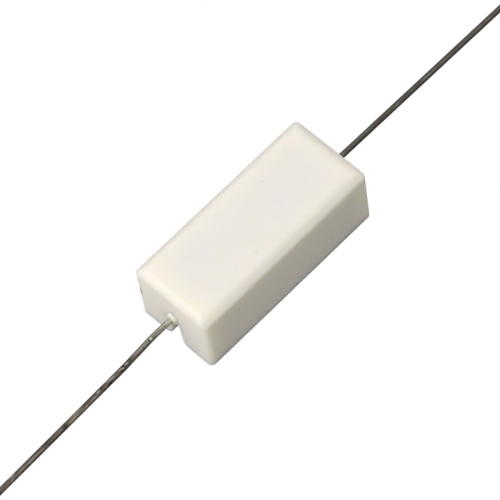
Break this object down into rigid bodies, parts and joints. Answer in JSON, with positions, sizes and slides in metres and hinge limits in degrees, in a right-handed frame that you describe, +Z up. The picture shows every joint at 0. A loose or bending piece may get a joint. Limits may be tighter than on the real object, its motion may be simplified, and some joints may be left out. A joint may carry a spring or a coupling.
{
  "type": "axial ceramic power resistor",
  "caption": "Wirewound power resistor: a slotted white ceramic trough filled with cement round its wound element, with a stiff wire lead out of each end.",
  "frame": {"origin": "middle of the overall box in X and Y, at the open rim that the case lies on", "axes": "+X along the leads, from the near end to the far end; +Z up, from the open rim to the closed top of the case"},
  "size_m": [0.092, 0.0094, 0.0084],
  "materials": {
    "case_ceramic": "unglazed white, matt",
    "cement": "rough cement, pale grey",
    "core_ceramic": "unglazed, matt",
    "cap_steel": "pressed and tinned",
    "resistance_wire": "drawn nickel alloy, dull",
    "lead_wire": "tinned copper wire, dulled grey"
  },
  "bodies": {
    "root": {"ceramic_case": "case_ceramic", "cement_fill": "cement", "core_rod": "core_ceramic", "resistance_winding": "resistance_wire", "end_cap_near": "cap_steel", "end_cap_far": "cap_steel", "lead_near": "lead_wire", "lead_far": "lead_wire"}
  },
  "joints": []
}
